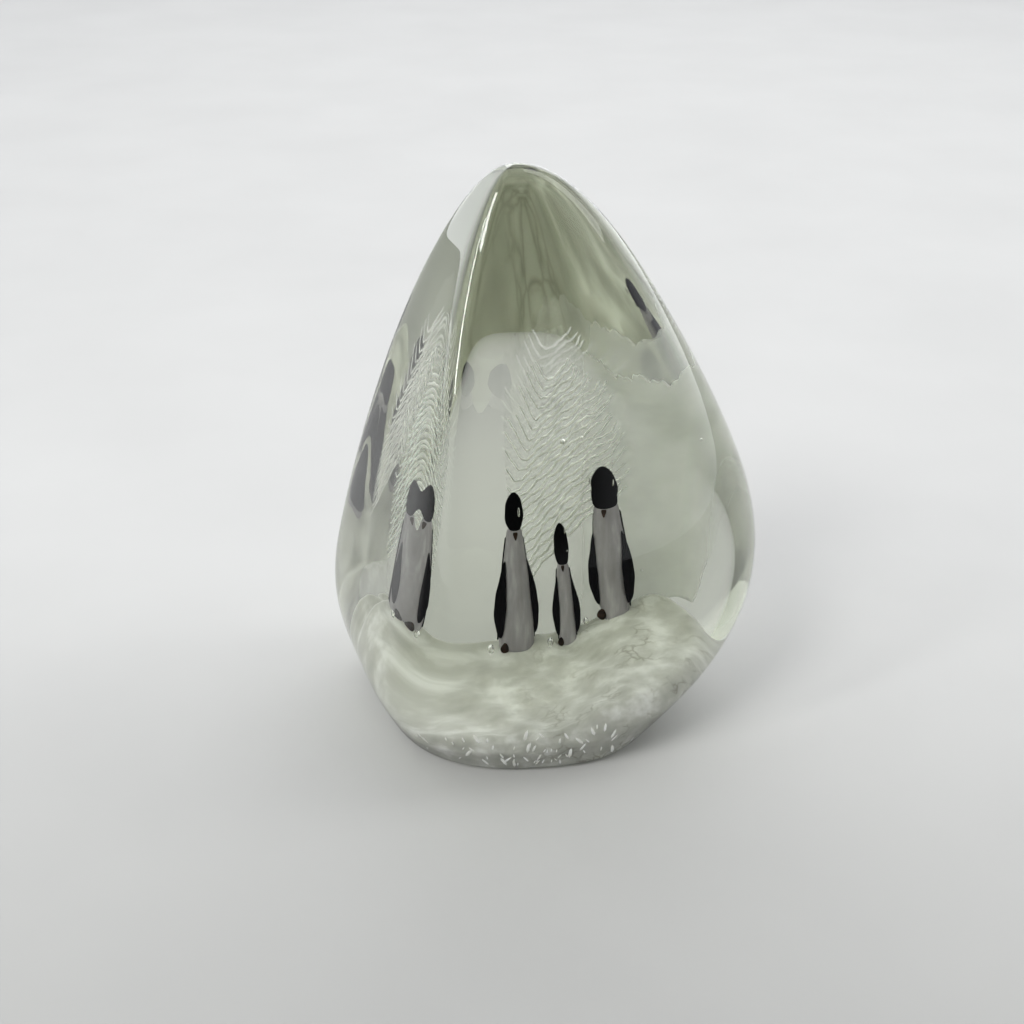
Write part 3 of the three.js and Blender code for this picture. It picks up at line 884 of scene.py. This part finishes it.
# Studio: pale floor, a soft room that is dark behind the camera and bright low behind the glass, four lamps
studio = dict(
    floorSize=6, floorDrop=0.05,                         # metres, and mm under the base
    lamps=(
        dict(name="window_left", size=(0.34, 0.5), watts=8.5, place=(-0.52, -0.72, 0.95)),
        dict(name="strip_left", size=(0.08, 0.42), watts=2.6, place=(-0.75, -0.5, 0.56)),
        dict(name="soft_right", size=(0.3, 0.9), watts=2.2, place=(0.6, 0.1, 0.8)),
        dict(name="soft_back", size=(0.9, 0.5), watts=3, place=(0.1, 0.8, 0.7)),
    ),
    aim=(0, 0, 0.04),
    room=1, roomBack=3.5, backdrop=1, throughGlass=1.6, dimTowards=(0, -0.9, 0.44), dimmest=0.05,
)


def matteFloor():
    # painted board: pale grey, barely uneven, with painted shade that makes it greyer towards the front and dark grey
    # where the glass mirrors it
    material, tree, shader = newMaterial("matte_paint_rolled")
    where = addNode(tree, "TexCoord").outputs["Object"]
    roller = addNode(tree, "TexNoise", {"Vector": where}, {"Scale": perMetre(60), "Detail": 3})
    colour = addNode(tree, "ValToRGB", {"Fac": roller.outputs["Fac"]},
                     ramp=[(0.3, "#b2b2b0"), (0.7, "#b6b6b4")])
    depth = addNode(tree, "SeparateXYZ", {"Vector": where})
    nearness = addNode(tree, "MapRange", {"Value": depth.outputs["Y"]},
                       {"From Min": -150 * mm, "From Max": 60 * mm, "To Min": 0, "To Max": 1})
    # painted shade: the floor colour is multiplied darker towards the front
    paintedFrontShade = addNode(tree, "ValToRGB", {"Fac": nearness.outputs["Result"]},
                   ramp=[(0.0, "#cfcfcd"), (1.0, "#ffffff")])
    toned = addNode(tree, "Mix", {6: colour.outputs["Color"], 7: paintedFrontShade.outputs["Color"]}, {0: 1},
                    data_type="RGBA", blend_type="MULTIPLY")
    # painted shade: where glossy rays meet the floor near the front, its colour turns dark grey
    ray = addNode(tree, "LightPath")
    glare = addNode(tree, "Math", {0: ray.outputs["Is Glossy Ray"], 1: ray.outputs["Is Transmission Ray"]},
                    operation="SUBTRACT", use_clamp=True)
    front = addNode(tree, "MapRange", {"Value": depth.outputs["Y"]},
                    {"From Min": -40 * mm, "From Max": 20 * mm, "To Min": 1, "To Max": 0})
    mirroredShadeMask = addNode(tree, "Math", {0: glare.outputs["Value"], 1: front.outputs["Result"]},
                   operation="MULTIPLY")
    mirrored = addNode(tree, "Mix", {0: mirroredShadeMask.outputs["Value"], 6: toned.outputs[2]},
                       {7: linear("#38383a")}, data_type="RGBA")
    tree.links.new(mirrored.outputs[2], shader.inputs["Base Color"])    # painted shade: dark grey where the glass mirrors the front of the floor
    shader.inputs["Roughness"].default_value = 0.7
    return material


def makeFloor(spec):
    clearSelection()
    bpy.ops.mesh.primitive_plane_add(size=spec["floorSize"], location=(0, 0, -spec["floorDrop"] * mm))
    floor = bpy.context.object
    floor.name = "floor"
    floor.data.materials.append(matteFloor())


def hangLamps(spec):
    for lamp in spec["lamps"]:
        clearSelection()
        place = Vector(lamp["place"])
        facing = (Vector(spec["aim"]) - place).to_track_quat("-Z", "Y")
        bpy.ops.object.light_add(type="AREA", location=place, rotation=facing.to_euler())
        light = bpy.context.object
        light.name = lamp["name"]
        light.data.shape = "RECTANGLE"
        light.data.size, light.data.size_y = lamp["size"]
        light.data.energy = lamp["watts"]


def makeRoom(spec):
    world = bpy.data.worlds.new("soft_room")
    world.use_nodes = True
    scene.world = world
    tree = world.node_tree
    sky = tree.nodes["Background"]
    sky.inputs["Color"].default_value = linear("#e8eaee")
    way = addNode(tree, "TexCoord").outputs["Generated"]
    parts = addNode(tree, "SeparateXYZ", {"Vector": way})
    behind = addNode(tree, "MapRange", {"Value": parts.outputs["Y"]},
                     {"From Min": 0, "From Max": 0.8, "To Min": 0, "To Max": 1})
    low = addNode(tree, "MapRange", {"Value": parts.outputs["Z"]},
                  {"From Min": 0.25, "From Max": 0.75, "To Min": 1, "To Max": 0})
    window = addNode(tree, "Math", {0: behind.outputs["Result"], 1: low.outputs["Result"]},
                     operation="MULTIPLY")
    bright = addNode(tree, "MapRange", {"Value": window.outputs["Value"]},
                     {"From Min": 0, "From Max": 1, "To Min": spec["room"], "To Max": spec["roomBack"]})
    towards = addNode(tree, "VectorMath", {0: way}, {1: spec["dimTowards"]}, operation="DOT_PRODUCT")
    dim = addNode(tree, "MapRange", {"Value": towards.outputs["Value"]},
                  {"From Min": 0.6, "From Max": 0.88, "To Min": 1, "To Max": spec["dimmest"]})
    both = addNode(tree, "Math", {0: bright.outputs["Result"], 1: dim.outputs["Result"]},
                   operation="MULTIPLY")
    ray = addNode(tree, "LightPath")
    through = addNode(tree, "Mix", {0: ray.outputs["Is Transmission Ray"], 2: both.outputs["Value"]},
                      {3: spec["throughGlass"]})         # the inside of the glass looks out on an even room
    light = addNode(tree, "Mix", {0: ray.outputs["Is Camera Ray"], 2: through.outputs[0]},
                    {3: spec["backdrop"]})
    tree.links.new(light.outputs[0], sky.inputs["Strength"])


makeFloor(studio)
hangLamps(studio)
makeRoom(studio)
print("studio lit")
